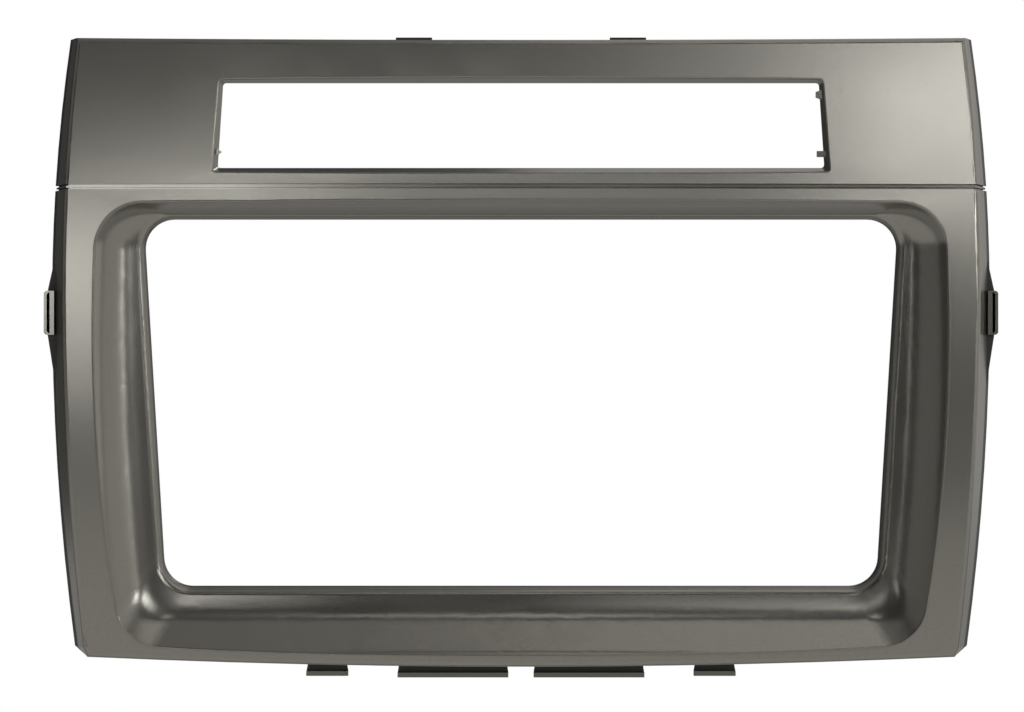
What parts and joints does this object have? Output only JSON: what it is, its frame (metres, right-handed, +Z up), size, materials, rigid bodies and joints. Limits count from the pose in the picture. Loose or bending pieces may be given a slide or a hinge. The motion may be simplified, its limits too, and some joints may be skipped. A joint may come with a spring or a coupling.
{
  "type": "car radio mounting frame",
  "caption": "Moulded dashboard fascia that frames a wide car radio in a dished bezel, with a display slot above and snap tongues round its rim.",
  "frame": {"origin": "centre of the radio opening, in the rear plane in which the rim seats on the dashboard", "axes": "+X to the right seen from the front, +Y into the dashboard, +Z up; the front faces -Y"},
  "size_m": [0.2606, 0.0166, 0.1751],
  "materials": {
    "painted_plastic": "moulded ABS with a satin warm-silver metallic paint on the front and flanks, bare and darker on the tongues and the back"
  },
  "bodies": {
    "root": {"fascia_frame": "painted_plastic"}
  },
  "joints": []
}
